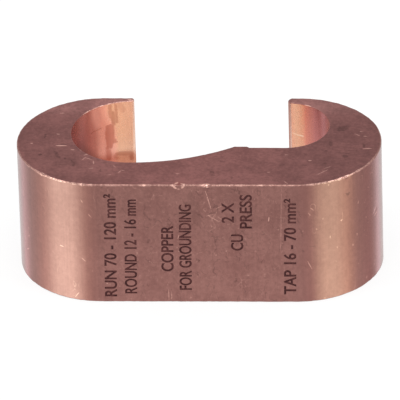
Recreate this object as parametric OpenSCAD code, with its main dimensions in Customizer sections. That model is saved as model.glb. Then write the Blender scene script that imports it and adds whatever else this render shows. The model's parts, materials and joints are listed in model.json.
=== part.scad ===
// Compression ground connector: one length of extruded copper C section, sawn square at both ends.
// It stands on a sawn end. X runs along the spine, the flat spine faces -Y and the mouth opens to +Y.

/* [Run groove] */
// Diameter of the groove for the run conductor or ground rod
run_groove_d = 16.6; // [14:0.1:20]
// Wall between the run groove's floor and the spine face
run_floor = 6.1; // [4:0.1:9]
// Thickness of the jaw over the run groove, at its nose
run_lip = 1.0; // [0.6:0.05:2]
// Wall between the run groove and its end of the body
run_end_wall = 7.5; // [5.5:0.1:12]

/* [Tap groove] */
// Diameter of the groove for the tap conductor
tap_groove_d = 12.1; // [8:0.1:14]
// Thickness of the jaw over the tap groove, at its nose
tap_lip = 1.45; // [0.8:0.05:3]
// Wall between the tap groove and its end of the body
tap_end_wall = 7.4; // [5:0.1:12]

/* [Web] */
// Distance between the axes of the two grooves, along the spine
groove_spacing = 21.55; // [18:0.05:30]
// Distance from the tap groove's axis back to the middle of the spur
spur_reach = 6.1; // [5:0.1:8]
// Width of the spur's flat crest
spur_w = 1.7; // [1:0.1:4]
// Height of the spur over the tap groove's floor
spur_rise = 0.3; // [0.2:0.05:1.2]

/* [Cut] */
// Length sawn off the extruded bar
cut_length = 19; // [10:0.5:40]
// Break of every sawn edge
edge_break = 0.15; // [0.05:0.05:0.25]

/* [Hidden] */
$fn = 96;

// Lengths that two cuts share are kept to whole microns, so that the cuts meet exactly
function micron(v) = round(v * 1000) / 1000;

run_r = run_groove_d / 2;
tap_r = tap_groove_d / 2;
body_d = run_floor + run_groove_d + run_lip;
body_l = run_end_wall + run_r + groove_spacing + tap_r + tap_end_wall;
end_r = micron(body_d / 2);
half_straight = micron(body_l / 2 - end_r);

// Groove axes, with the body's middle at the origin
back_y = end_r;
run_x = micron(run_end_wall + run_r - body_l / 2);
run_y = micron(run_floor + run_r - end_r);
tap_x = micron(run_x + groove_spacing);
tap_y = micron(back_y - tap_lip - tap_r);

// Web: the ramp is an arc that leaves the run groove's floor level and rises to the spur's crest
run_floor_y = run_y - run_r;
tap_floor_y = tap_y - tap_r;
crest_y = micron(tap_floor_y + spur_rise);
crest_x0 = tap_x - spur_reach - spur_w / 2;
crest_x1 = crest_x0 + spur_w;
ramp_l = crest_x0 - run_x;
ramp_h = crest_y - run_floor_y;
ramp_r = micron((ramp_l * ramp_l + ramp_h * ramp_h) / (2 * ramp_h));
ramp_angle = asin(ramp_l / ramp_r);

// Spur's shoulder over the tap groove: a round that breaks the crest at a soft corner
shoulder_r = 2 * spur_rise;
shoulder_sink = 0.95 * shoulder_r;
shoulder_x = micron(crest_x1 - sqrt(shoulder_r * shoulder_r - shoulder_sink * shoulder_sink));

// Radius of a round that touches back face and groove wall and ends plumb over the groove's axis
function lip_round(groove_r, lip) =
    micron(2 * groove_r + lip - sqrt(2 * groove_r * (2 * groove_r + lip)));

// A nose is a little fuller than that, so it meets both faces at a soft corner
nose_fullness = 1.06;
function nose_r(groove_r, lip) = micron(nose_fullness * lip_round(groove_r, lip));

// Half profile of a solid with its sawn edges broken, out to r
function broken(r) = [
    [0, 0],
    [r - edge_break, 0],
    [r, edge_break],
    [r, cut_length - edge_break],
    [r - edge_break, cut_length],
    [0, cut_length]
];

// Half profile of a cutter that breaks the sawn edges it leaves, from r0 out to r
function flared(r0, r) = [
    [r0, -edge_break],
    [r + 2 * edge_break, -edge_break],
    [r, edge_break],
    [r, cut_length - edge_break],
    [r + 2 * edge_break, cut_length + edge_break],
    [r0, cut_length + edge_break]
];

// Carries a profile drawn in (y, z) along X from x0 to x1
module along_x(x0, x1) {
    translate([x0, 0, 0])
        rotate([90, 0, 90])
            linear_extrude(x1 - x0)
                children();
}

// Turns a half profile about an upright axis at (x, y), over an angle from one bearing
module turned(x, y, from = 0, angle = 360) {
    translate([x, y, 0])
        rotate([0, 0, from])
            rotate_extrude(angle = angle)
                children();
}

// Round-ended bar, as it comes from the saw
module sawn_bar() {
    turned(-half_straight, 0, 90, 180)
        polygon(broken(end_r));
    turned(half_straight, 0, -90, 180)
        polygon(broken(end_r));
    along_x(-half_straight, half_straight) {
        polygon(broken(end_r));
        mirror([1, 0])
            polygon(broken(end_r));
    }
}

// Half groove on the jaw's side of its axis
module groove_cut(x, y, r, from) {
    turned(x, y, from, 180)
        polygon(flared(0, r));
}

// Space over a level stretch of the web at height y
module level_cut(x0, x1, y) {
    along_x(x0, x1)
        translate([y, 0])
            mirror([1, 0])
                polygon(flared(y - back_y - 1, 0));
}

// Space over the ramp, run a little past the crest so that the broken edges meet there
module ramp_cut() {
    turned(run_x, run_floor_y + ramp_r, -90, ramp_angle + 1)
        polygon(flared(ramp_r - 2 * ramp_h, ramp_r));
}

// Space over the tap groove's floor, up to the spur's rounded shoulder
module tap_floor_cut() {
    difference() {
        level_cut(shoulder_x, tap_x, tap_floor_y);
        turned(shoulder_x, crest_y - shoulder_sink)
            polygon(broken(shoulder_r));
    }
}

// Rounded nose of the jaw over a groove, on the side of the axis that the jaw comes from
module nose(x, groove_r, lip, side) {
    full_r = nose_r(groove_r, lip);
    turned(x + side * full_r, back_y - lip_round(groove_r, lip))
        polygon(broken(full_r));
}

// Opening between the jaws, back to their rounded noses
module mouth_cut() {
    x0 = run_x - nose_r(run_r, run_lip);
    x1 = tap_x + nose_r(tap_r, tap_lip);
    difference() {
        translate([x0, run_y, -1])
            cube([x1 - x0, back_y - run_y + 1, cut_length + 2]);
        nose(run_x, run_r, run_lip, -1);
        nose(tap_x, tap_r, tap_lip, 1);
    }
}

module connector_body() {
    color([0.68, 0.43, 0.37])
        difference() {
            sawn_bar();
            groove_cut(run_x, run_y, run_r, 90);
            groove_cut(tap_x, tap_y, tap_r, -90);
            ramp_cut();
            level_cut(run_x, tap_x, crest_y);
            tap_floor_cut();
            mouth_cut();
        }
}

connector_body();
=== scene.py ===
"""Looks of a copper compression ground connector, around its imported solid.

The part is one sawn length of a C-shaped copper bar. It stands on a sawn
end, with the flat spine towards the camera and the mouth of the C behind.
Lengths are in millimetres until a mesh is written, which is in metres.
"""
import json
import logging
import math
from dataclasses import dataclass
from enum import Enum, IntEnum
from functools import partial, reduce

import bmesh
import bpy
import numpy as np
from mathutils import Matrix, Vector


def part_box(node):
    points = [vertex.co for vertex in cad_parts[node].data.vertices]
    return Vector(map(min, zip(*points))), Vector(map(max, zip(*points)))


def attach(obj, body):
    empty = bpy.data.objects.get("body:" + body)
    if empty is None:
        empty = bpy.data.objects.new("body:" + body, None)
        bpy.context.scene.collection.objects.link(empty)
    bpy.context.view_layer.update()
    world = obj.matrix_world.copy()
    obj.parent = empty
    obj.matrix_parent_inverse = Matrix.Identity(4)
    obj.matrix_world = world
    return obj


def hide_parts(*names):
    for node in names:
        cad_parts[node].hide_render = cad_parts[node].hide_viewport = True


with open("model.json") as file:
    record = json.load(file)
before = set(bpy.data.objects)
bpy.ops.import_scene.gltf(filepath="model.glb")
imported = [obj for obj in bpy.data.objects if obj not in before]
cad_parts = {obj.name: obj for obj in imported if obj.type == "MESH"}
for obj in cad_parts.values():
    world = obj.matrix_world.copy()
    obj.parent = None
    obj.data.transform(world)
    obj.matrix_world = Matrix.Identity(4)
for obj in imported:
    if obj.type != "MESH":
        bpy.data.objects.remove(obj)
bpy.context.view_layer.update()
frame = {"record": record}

Array = np.ndarray
Point = tuple[float, float]
Place = tuple[float, float, float]
Colour = tuple[float, float, float, float]
Stops = tuple[tuple[float, Colour], ...]
Socket = bpy.types.NodeSocket
Feed = Socket | float | tuple
Feeds = dict[str | int, Feed]

# A smooth step: the values that it starts and stops at, and what it gives there
Fade = tuple[float, float, float, float]

MM = 0.001
BODY = "connector_body"
ORIGIN: Place = (0.0, 0.0, 0.0)
WHITE: Colour = (1.0, 1.0, 1.0, 1.0)
LOG = logging.getLogger("connector")

# Spacing of the points on an outline, and how far off its direction is measured
FINE = 0.02
TANGENT_REACH = 0.06

# Distance within which doubled points are merged, in metres
MERGE = 1e-8

# Middle of a noise, which runs from 0 to 1
MIDDLE = 0.5

# Hash of a cell's three indices and a seed, in words of 32 bits
CELL_PRIMES = np.array([374761393, 668265263, 1440662683])
SEED_PRIME = 982451653
MIX_PRIME = 1274126177
WORD = 0xFFFFFFFF
LOW_BITS = 0xFFFFFF


class Surface(IntEnum):
    """Kinds of surface on the body, in the order of its materials."""

    DRAWN = 0
    GROOVE = 1
    SAWN = 2


class Edge(IntEnum):
    """Sawn edges of the body, each with the seed of its wear."""

    TOP_IN = 11
    TOP_OUT = 12
    FOOT_IN = 13
    FOOT_OUT = 14


class End(IntEnum):
    """Round ends of the body, by the sign of their x."""

    LEFT = -1
    RIGHT = 1


class Face(Enum):
    """Faces that marks are placed on, by two lengths each."""

    TOP = "x and y on the upper sawn face"
    SPINE = "x and z on the outside, from the spine round to the ends"
    JAW = "x and z on the groove walls under the jaws"


class Seen(Enum):
    """Kinds of ray that find the white of the studio."""

    CAMERA = "Is Camera Ray"
    GLOSSY = "Is Glossy Ray"
    THROUGH = "Is Transmission Ray"


# Meshes and objects


def meshed(name: str, places: Array | list[Place], faces: Array | list) -> bpy.types.Mesh:
    """Makes a mesh.

    Args:
        name: Name of the mesh.
        places: Points in metres, one to a row.
        faces: Corners of each face, as indices of the points.

    Returns:
        The mesh.
    """
    data = bpy.data.meshes.new(name)
    data.from_pydata(places, [], faces)
    return data


def keep(data: bpy.types.Mesh, name: str, values: Array) -> None:
    """Keeps a number or a colour at each point of a mesh.

    Args:
        data: The mesh.
        name: Name of the attribute.
        values: Numbers, or four of them to a row for colours.
    """
    kind, key = ("FLOAT", "value") if values.ndim == 1 else ("FLOAT_COLOR", "color")
    layer = data.attributes.new(name, kind, "POINT")
    layer.data.foreach_set(key, values.reshape(-1).astype(np.float32))


def closed(data: bpy.types.Mesh) -> None:
    """Merges a mesh's doubled points and turns its faces outwards.

    Args:
        data: The mesh.
    """
    work = bmesh.new()
    work.from_mesh(data)
    bmesh.ops.remove_doubles(work, verts=work.verts, dist=MERGE)
    bmesh.ops.recalc_face_normals(work, faces=work.faces)
    work.to_mesh(data)
    work.free()


def placed(name: str, data: bpy.types.ID) -> bpy.types.Object:
    """Puts a mesh, a text, a lamp or a camera into the scene.

    Args:
        name: Name of the object.
        data: What the object shows.

    Returns:
        The object.
    """
    piece = bpy.data.objects.new(name, data)
    bpy.context.scene.collection.objects.link(piece)
    return piece


def direction(bearing: float, rise: float) -> Vector:
    """Way to a place at a bearing from the front and a rise, in degrees."""
    a, e = math.radians(bearing), math.radians(rise)
    return Vector((math.sin(a) * math.cos(e), -math.cos(a) * math.cos(e), math.sin(e)))


# Outlines


def arc(centre: Point, radius: float, start: float, stop: float) -> Array:
    """Points on centre + radius (cos a, sin a), a from start to stop.

    Args:
        centre: Middle of the circle.
        radius: Radius of the circle.
        start: First angle, in degrees.
        stop: Last angle, in degrees.

    Returns:
        Points along the arc, one to a row.
    """
    sweep = abs(math.radians(stop - start)) * radius
    count = max(3, math.ceil(sweep / FINE) + 1)
    turn = np.radians(np.linspace(start, stop, count))
    return np.array(centre) + radius * np.column_stack([np.cos(turn), np.sin(turn)])


def straight(start: Point, stop: Point) -> Array:
    """Points on the line (1 - t) start + t stop, t from 0 to 1."""
    count = max(2, math.ceil(math.dist(start, stop) / FINE) + 1)
    return np.linspace(start, stop, count)


def joined(*parts: Array) -> Array:
    """Sets stretches of points end to end, each joint kept once."""
    return np.concatenate([parts[0], *[p[1:] for p in parts[1:]]])


def mirrored(points: Array) -> Array:
    """The points with x turned to -x, in the opposite order."""
    return (points * [-1.0, 1.0])[::-1]


def walked(points: Array) -> Array:
    """Distance walked along a line of points, 0 at the first."""
    steps = np.linalg.norm(np.diff(points, axis=0), axis=1)
    return np.concatenate([[0.0], np.cumsum(steps)])


def sampled(line: Array, share: Array) -> tuple[Array, Array]:
    """Walks a line to given shares of its length.

    Args:
        line: Points of the line, one to a row.
        share: Shares of the length, from 0 to 1.

    Returns:
        The point at each share, and the way there from close before the
        point to close behind it.
    """
    gone = walked(line)
    far = gone[-1]
    at, reach = share * far, min(TANGENT_REACH, far / 4)
    here, before, behind = (
        np.column_stack([np.interp(way, gone, axis) for axis in line.T])
        for way in (at, np.maximum(at - reach, 0), np.minimum(at + reach, far))
    )
    return here, behind - before


def leftwards(ways: Array) -> Array:
    """Unit vectors (-y, x) / |(x, y)|, square to each way on its left."""
    turned = np.column_stack([-ways[:, 1], ways[:, 0]])
    return turned / np.linalg.norm(turned, axis=1, keepdims=True)


def eased(value: Array, low: float, high: float) -> Array:
    """Smooth step 3t^2 - 2t^3, 0 at low and 1 at high."""
    t = np.clip((value - low) / (high - low), 0, 1)
    return t * t * (3 - 2 * t)


# Section


@dataclass(frozen=True)
class Groove:
    """Round groove of the section, measured from the body's middle."""

    x: float
    y: float
    r: float

    @classmethod
    def of_mount(cls, name: str) -> "Groove":
        """Reads the groove's axis and radius off a mount of the record.

        Args:
            name: Name of the mount.

        Returns:
            The groove.
        """
        mount = next(m for m in frame["record"]["mounts"] if m["name"] == name)
        x, y, _ = mount["pos_m"]
        return cls(x / MM, y / MM, mount["dims"]["r_mm"])


@dataclass(frozen=True)
class Jaw:
    """Rounded nose of a jaw, with x measured from its groove's axis.

    It is drawn for a jaw that comes from the -X side, apex at x = 0.
    """

    groove: Groove
    back_y: float
    fullness: float = 1.06

    @property
    def touch_r(self) -> float:
        """Radius of the round that touches back face and groove wall.

        Returns:
            The radius.
        """
        span = 2 * self.groove.r
        lip = self.back_y - self.groove.y - self.groove.r
        return span + lip - math.sqrt(span * (span + lip))

    @property
    def r(self) -> float:
        """Radius of the nose, a little fuller than the touching round."""
        return self.fullness * self.touch_r

    @property
    def centre(self) -> Point:
        """Middle of the nose."""
        return (-self.r, self.back_y - self.touch_r)

    @property
    def groove_angle(self) -> float:
        """Angle on the groove where the nose meets its wall.

        Returns:
            The angle, in degrees.
        """
        dx, dy = self.centre[0], self.centre[1] - self.groove.y
        d, r = math.hypot(dx, dy), self.groove.r
        half = math.acos((r * r - self.r**2 + d * d) / (2 * d * r))
        return math.degrees(math.atan2(dy, dx) - half)

    def outside(self) -> Array:
        """Nose from its apex round to the back face."""
        rise = math.degrees(math.asin(self.touch_r / self.r))
        return arc(self.centre, self.r, 0, rise)

    def inside(self) -> Array:
        """Nose from its apex round to the groove wall.

        Returns:
            Points along the nose, one to a row.
        """
        a, r = math.radians(self.groove_angle), self.groove.r
        meet = (r * math.cos(a), self.groove.y + r * math.sin(a))
        dx, dy = meet[0] - self.centre[0], meet[1] - self.centre[1]
        return arc(self.centre, self.r, 0, math.degrees(math.atan2(dy, dx)))


@dataclass(frozen=True)
class Stations:
    """Pairs of points across the band, from one jaw's apex to the other's."""

    inner: Array
    inner_out: Array
    outer: Array
    outer_out: Array


@dataclass(frozen=True)
class Section:
    """C section of the bar: two grooves and a web between round ends.

    The spur's shoulder is a round with its middle shoulder_sink radii
    under the crest. The spine's stretch that is paired with the ramp
    starts ramp_lead before the run groove's axis.
    """

    end_r: float
    half_straight: float
    height: float
    run: Groove
    tap: Groove
    spur_reach: float = 6.1
    spur_w: float = 1.7
    spur_rise: float = 0.3
    shoulder_sink: float = 0.95
    ramp_lead: float = 2.0
    nose_finer: int = 5
    fewest_steps: int = 8

    @classmethod
    def of_frame(cls) -> "Section":
        """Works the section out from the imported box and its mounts.

        Returns:
            The section.
        """
        low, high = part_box(BODY)
        length, depth, height = ((high - low) / MM)[:]
        run, tap = Groove.of_mount("run_groove"), Groove.of_mount("tap_groove")
        return cls(depth / 2, (length - depth) / 2, height, run, tap)

    def jaws(self) -> tuple[Jaw, Jaw]:
        """Noses over the run groove and over the tap groove."""
        return Jaw(self.run, self.end_r), Jaw(self.tap, self.end_r)

    def outer(self) -> list[Array]:
        """Outside of the C as eight stretches, each paired with inner's.

        Returns:
            Stretches from the run jaw's apex, round the ends and the
            spine, to the tap jaw's apex.
        """
        r, hs = self.end_r, self.half_straight
        run_jaw, tap_jaw = self.jaws()
        run_nose = run_jaw.outside() + [self.run.x, 0]
        tap_nose = mirrored(tap_jaw.outside()) + [self.tap.x, 0]
        under_run = self.run.x - self.ramp_lead
        under_spur = self.tap.x - self.spur_reach - self.spur_w
        left, right = (-hs, 0.0), (hs, 0.0)
        return [
            run_nose,
            joined(straight(run_nose[-1], (-hs, r)), arc(left, r, 90, 180)),
            joined(arc(left, r, 180, 270), straight((-hs, -r), (under_run, -r))),
            straight((under_run, -r), (under_spur, -r)),
            straight((under_spur, -r), (hs, -r)),
            arc(right, r, -90, 0),
            joined(arc(right, r, 0, 90), straight((hs, r), tap_nose[0])),
            tap_nose,
        ]

    def inner(self) -> list[Array]:
        """Inside of the C as eight stretches, each paired with outer's.

        Returns:
            Stretches from the run jaw's apex, round the run groove, up the
            ramp to the spur and round the tap groove to its jaw's apex.
        """
        run, tap = self.run, self.tap
        run_jaw, tap_jaw = self.jaws()
        run_nose = run_jaw.inside() + [run.x, 0]
        tap_nose = mirrored(tap_jaw.inside()) + [tap.x, 0]
        floor_y = tap.y - tap.r
        crest = (tap.x - self.spur_reach - self.spur_w / 2, floor_y + self.spur_rise)
        ramp_l, ramp_h = crest[0] - run.x, crest[1] - run.y + run.r
        ramp_r = (ramp_l**2 + ramp_h**2) / (2 * ramp_h)
        ramp_turn = math.degrees(math.asin(ramp_l / ramp_r))
        shoulder_r, sink = 2 * self.spur_rise, self.shoulder_sink
        top_a, foot_a = math.asin(sink), math.asin(sink - self.spur_rise / shoulder_r)
        hub_x = crest[0] + self.spur_w - shoulder_r * math.cos(top_a)
        hub = (hub_x, crest[1] - sink * shoulder_r)
        shoulder = arc(hub, shoulder_r, math.degrees(top_a), math.degrees(foot_a))
        return [
            run_nose,
            arc((run.x, run.y), run.r, run_jaw.groove_angle, 180),
            arc((run.x, run.y), run.r, 180, 270),
            arc((run.x, run.y - run.r + ramp_r), ramp_r, -90, ramp_turn - 90),
            joined(
                straight(crest, tuple(shoulder[0])),
                shoulder,
                straight(tuple(shoulder[-1]), (tap.x, floor_y)),
            ),
            arc((tap.x, tap.y), tap.r, -90, 0),
            arc((tap.x, tap.y), tap.r, 0, 180 - tap_jaw.groove_angle),
            tap_nose,
        ]

    def stations(self, step: float) -> Stations:
        """Walks both outlines together, at about the same step.

        Each stretch is cut into equal shares of its length, so a station
        lies at the same share of the k-th inner and outer stretch.

        Args:
            step: Widest step between stations.

        Returns:
            Points and normals of both outlines at every station.
        """
        pairs = list(zip(self.inner(), self.outer()))
        last = len(pairs) - 1
        walks: list[list[tuple[Array, Array]]] = []
        for k, pair in enumerate(pairs):
            far = max(walked(line)[-1] for line in pair)
            finer = self.nose_finer if k in (0, last) else 1
            count = max(self.fewest_steps, math.ceil(far / step * finer))
            share = np.arange(count + (k == last)) / count
            walks.append([sampled(line, share) for line in pair])
        (in_p, in_way), (out_p, out_way) = (
            [np.concatenate(parts) for parts in zip(*side)] for side in zip(*walks)
        )
        in_n, out_n = leftwards(in_way), -leftwards(out_way)
        in_n[0] = out_n[0] = (1, 0)
        in_n[-1] = out_n[-1] = (-1, 0)
        in_p[0], in_p[-1] = out_p[0], out_p[-1]
        return Stations(in_p, in_n, out_p, out_n)

    def spot(self, face: Face, point: Point) -> Place:
        """Sets a place that is given by two lengths on the body.

        Args:
            face: Face that carries the place.
            point: The two lengths, as the face says.

        Returns:
            The place in space.
        """
        x, other = point
        if face is Face.TOP:
            return (x, other, self.height)
        if face is Face.SPINE:
            past = max(abs(x) - self.half_straight, 0.0)
            return (x, -math.sqrt(max(self.end_r**2 - past**2, 0.0)), other)
        groove = self.run if x < 0 else self.tap
        off = x - groove.x
        return (x, groove.y + math.sqrt(max(groove.r**2 - off**2, 0.0)), other)


# Wear in the shape


@dataclass(frozen=True)
class Unevenness:
    """Smooth random field, for surfaces that are never quite true."""

    cell: float
    depth: float
    seed: int
    stretch: Place = (1.0, 1.0, 1.0)

    def corner(self, cells: Array) -> Array:
        """Hashes cell corners to numbers from -1 to 1.

        Args:
            cells: Whole indices of the corners, one triple to a row.

        Returns:
            One number for each row.
        """
        mix = (cells.astype(np.int64) @ CELL_PRIMES + self.seed * SEED_PRIME) & WORD
        mix = ((mix ^ (mix >> 13)) * MIX_PRIME) & WORD
        return ((mix ^ (mix >> 16)) & LOW_BITS) / (LOW_BITS // 2) - 1.0

    def at(self, points: Array) -> Array:
        """Numbers at the cell corners, blended by 3t^2 - 2t^3 on each axis.

        Args:
            points: Places in space, one to a row.

        Returns:
            Values from -depth to depth.
        """
        place = points / (self.cell * np.array(self.stretch))
        base = np.floor(place)
        t = eased(place - base, 0, 1)
        total = np.zeros(len(points))
        for corner in np.ndindex(2, 2, 2):
            near = np.array(corner)
            share = np.prod(np.where(near, t, 1 - t), axis=1)
            total += share * self.corner(base + near)
        return self.depth * total


@dataclass(frozen=True)
class Knock:
    """Shallow dent left by a knock."""

    at: Place
    reach: float
    depth: float

    def sink(self, points: Array) -> Array:
        """Depth of the dent, depth (1 - (d / reach)^2)^2 inside its reach."""
        gap = np.sum((points - np.array(self.at)) ** 2, axis=1) / self.reach**2
        return self.depth * np.clip(1 - gap, 0, None) ** 2


@dataclass(frozen=True)
class Bruise:
    """Place on the front sawn edge where the corner is rubbed broader."""

    x: float
    reach: float
    extra: float

    def width(self, line: Array) -> Array:
        """extra exp(-((x - x0) / reach)^2) on the outline's front, else 0."""
        bell = np.exp(-(((line[:, 0] - self.x) / self.reach) ** 2))
        return self.extra * bell * (line[:, 1] < 0)


# Body


@dataclass(frozen=True)
class Side:
    """One outline of the band, with the rounds of its two sawn edges."""

    line: Array
    out: Array
    foot_r: Array
    top_r: Array
    rub: Array
    lip: Array
    kind: Surface
    edge_kind: Surface

    def edge_r(self, up: bool) -> Array:
        """Radii of the round at the top or at the foot, as a column."""
        return (self.top_r if up else self.foot_r)[:, None]


@dataclass(frozen=True)
class Strip:
    """Columns of the band that lie side by side, as (station, column).

    gap is the distance to the nearest sawn edge, rub how far that
    edge is rubbed bare, partly a painted highlight, and lip the distance along
    the outline from a jaw's apex.
    What is the same along the stations or columns is there once.
    """

    xy: Array
    z: Array
    out: Array
    gap: Array | float
    rub: Array
    lip: Array | float
    kind: Surface

    def full(self, name: str) -> Array:
        """One of the fields, at every station and column."""
        value = np.asarray(getattr(self, name))
        return np.broadcast_to(value, (*self.z.shape, *value.shape[2:]))


@dataclass
class ConnectorBody:
    """The one copper piece: a closed band carried along the C.

    Station u runs along the C between the jaws' apexes. Column w runs
    round the band: up the groove wall, over the top sawn face, down the
    outside and back under the foot, with a round at each sawn edge.
    """

    section: Section
    bruises: tuple[Bruise, ...]
    knocks: tuple[Knock, ...]
    inset: float = 0.03

    # Grid: step along the C, and columns as shares of a wall or a face
    step: float = 0.23
    wall_rows: int = 42
    face_rows: int = 21
    rim_shares: tuple[float, ...] = (0.004, 0.02, 0.05)
    rim_end: float = 0.09
    turns: int = 5

    # Rounds of the sawn edges: means, and cell and depth of what varies them
    edge_r: float = 0.14
    inner_edge_r: float = 0.07
    slow_wear: Point = (2.2, 0.30)
    quick_wear: Point = (0.5, 0.42)
    quick_seed: int = 7
    least_wear: float = 0.3

    # How far the edges are rubbed bare, partly a painted highlight at the bends of the ends and
    # along the run jaw: front, bends of the ends, jaw and foot
    rub_least: float = 0.04
    rub_front: float = 0.14
    bend_rub_and_highlight: float = 0.40
    bend_mid: float = 30.0
    bend_half: float = 20.0
    bend_fade: Point = (60.0, 85.0)
    rub_bruise: float = 4.0
    jaw_rub_and_highlight: float = 0.85
    jaw_fade: Point = (6.5, 8.5)
    rub_foot: float = 0.1

    # Waves all over, drawing lines on the walls, and the share of the inset that they keep to
    waves: tuple[Unevenness, ...] = (Unevenness(5.0, 0.003, 21), Unevenness(1.6, 0.0008, 22))
    drawing: Unevenness = Unevenness(0.9, 0.0006, 23, (1.0, 1.0, 40.0))
    headroom: float = 0.7

    def rim(self, up: bool) -> tuple[float, float]:
        """Height of the top or of the foot, and the sign of its outward z."""
        return (self.section.height - self.inset, 1.0) if up else (self.inset, -1.0)

    def edge_radii(self, line: Array, mean: float, edge: Edge) -> Array:
        """Radius of a sawn edge's round: its mean times 1 + slow + quick.

        Args:
            line: Points along the edge.
            mean: Mean radius.
            edge: Which edge it is.

        Returns:
            One radius for each point.
        """
        spread = np.column_stack([line, np.full(len(line), float(edge))])
        slow = Unevenness(*self.slow_wear, edge).at(spread)
        quick = Unevenness(*self.quick_wear, edge + self.quick_seed).at(spread)
        return mean * np.clip(1 + slow + quick, self.least_wear, None)

    def front_rub_and_highlight(self, out: Array) -> Array:
        """How far the outer top edge is rubbed bare, with a painted highlight, by its normal's
        bearing a.

        It is front + bend exp(-((|a| - mid) / half)^2), with a in degrees
        from the front, and fades out towards the back.

        Args:
            out: Outward normals, one to a row.

        Returns:
            One share for each normal.
        """
        bearing = np.degrees(np.abs(np.arctan2(out[:, 0], -out[:, 1])))
        bend = np.exp(-(((bearing - self.bend_mid) / self.bend_half) ** 2))
        rub = self.rub_front + self.bend_rub_and_highlight * bend
        return self.rub_least + rub * (1 - eased(bearing, *self.bend_fade))

    def sides(self, st: Stations) -> tuple[Side, Side]:
        """Sets up the groove's side and the outer side of the band.

        Args:
            st: Stations along the C.

        Returns:
            The inner and the outer side. Their rounds are equal at the
            two apexes, where the sides meet.
        """
        gone = walked(st.inner)
        lip = np.minimum(gone, gone[-1] - gone)
        foot_in = self.edge_radii(st.inner, self.inner_edge_r, Edge.FOOT_IN)
        top_in = self.edge_radii(st.inner, self.inner_edge_r, Edge.TOP_IN)
        foot_out = self.edge_radii(st.outer, self.edge_r, Edge.FOOT_OUT)
        top_out = self.edge_radii(st.outer, self.edge_r, Edge.TOP_OUT)
        rub = self.front_rub_and_highlight(st.outer_out)
        for bruise in self.bruises:
            top_out += bruise.width(st.outer)
            rub += self.rub_bruise * bruise.width(st.outer)
        for end in (0, -1):
            foot_in[end], top_in[end] = foot_out[end], top_out[end]
        # Painted highlight, with some wear, along the run jaw's inner top edge
        run_jaw = eased(st.inner[:, 1], *self.jaw_fade) * (st.inner[:, 0] < 0)
        return (
            Side(
                st.inner - self.inset * st.inner_out, st.inner_out, foot_in, top_in,
                self.rub_least + self.jaw_rub_and_highlight * run_jaw, lip, Surface.GROOVE, Surface.SAWN,
            ),
            Side(
                st.outer - self.inset * st.outer_out, st.outer_out, foot_out, top_out,
                rub, 0 * lip, Surface.DRAWN, Surface.DRAWN,
            ),
        )

    def wall(self, side: Side, share: Array) -> Strip:
        """Wall (p, z), z between the rounds of the two sawn edges.

        Args:
            side: Side that the wall belongs to.
            share: Shares of the wall's height, in order.

        Returns:
            The wall's columns.
        """
        low = self.rim(False)[0] + side.edge_r(False)
        high = self.rim(True)[0] - side.edge_r(True)
        z = low + (high - low) * share
        out = np.column_stack([side.out, np.zeros(len(z))])
        rub = side.rub[:, None] * np.where(share < 0.5, self.rub_foot, 1.0)
        gap = np.minimum(z - low, high - z)
        lip = side.lip[:, None]
        return Strip(side.line[:, None], z, out[:, None], gap, rub, lip, side.kind)

    def corner(self, side: Side, up: bool, turn: Array) -> Strip:
        """Round (p - n e (1 - cos a), h - e + e sin a) of a sawn edge.

        Args:
            side: Side that the edge belongs to.
            up: True at the top and False at the foot.
            turn: Angles a from the wall, 0, to the sawn face.

        Returns:
            The round's columns.
        """
        rim, sign = self.rim(up)
        r, cos, sin = side.edge_r(up), np.cos(turn), np.sin(turn)
        z = rim + sign * (r * sin - r)
        flat = side.out[:, None]
        xy = side.line[:, None] - flat * (r * (1 - cos))[..., None]
        lift = np.broadcast_to(sign * sin, z.shape)[..., None]
        out = np.concatenate([flat * cos[:, None], lift], axis=2)
        rub = side.rub[:, None] * (1.0 if up else self.rub_foot)
        return Strip(xy, z, out, 0.0, rub, side.lip[:, None], side.edge_kind)

    def face(self, start: Side, stop: Side, up: bool, share: Array) -> Strip:
        """Sawn face, (1 - s) a + s b between the rounds of two edges.

        Args:
            start: Side that the columns start from.
            stop: Side that they end at.
            up: True at the top and False at the foot.
            share: Shares s of the way across, in order.

        Returns:
            The face's columns.
        """
        rim, sign = self.rim(up)
        a, b = (side.line - side.out * side.edge_r(up) for side in (start, stop))
        way = b - a
        xy = a[:, None] + way[:, None] * share[:, None]
        z = np.full(xy.shape[:2], rim)
        out = np.array([[[0.0, 0.0, sign]]])
        gap = np.linalg.norm(way, axis=1)[:, None] * np.minimum(share, 1 - share)
        rub = np.where(share < 0.5, start.rub[:, None], stop.rub[:, None])
        return Strip(xy, z, out, gap, rub, 0.0, Surface.SAWN)

    def strips(self, st: Stations) -> list[Strip]:
        """Lays the band out, strip by strip round each station.

        Args:
            st: Stations along the C.

        Returns:
            The strips in order.
        """
        inner, outer = self.sides(st)
        near = np.array(self.rim_shares)
        wall, face = (
            np.concatenate([near, np.linspace(self.rim_end, 1 - self.rim_end, rows), 1 - near[::-1]])
            for rows in (self.wall_rows, self.face_rows)
        )
        turn = np.linspace(0, math.pi / 2, self.turns + 1)
        return [
            self.wall(inner, wall),
            self.corner(inner, True, turn),
            self.face(inner, outer, True, face),
            self.corner(outer, True, turn[::-1]),
            self.wall(outer, wall[::-1]),
            self.corner(outer, False, turn),
            self.face(outer, inner, False, face),
            self.corner(inner, False, turn[::-1]),
        ]

    def roughened(self, points: Array, out: Array) -> Array:
        """Pushes the true surface about along its normals.

        Args:
            points: Places, one to a row.
            out: Outward directions, one to a row.

        Returns:
            The places after slow waves, drawing lines and knocks. None
            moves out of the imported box.
        """
        upright = 1 - np.abs(out[:, 2])
        shift = sum(wave.at(points) for wave in self.waves)
        shift = shift + upright * self.drawing.at(points)
        for knock in self.knocks:
            shift -= knock.sink(points)
        shift = np.minimum(shift, self.inset * self.headroom)
        return points + out * shift[:, None]

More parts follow.
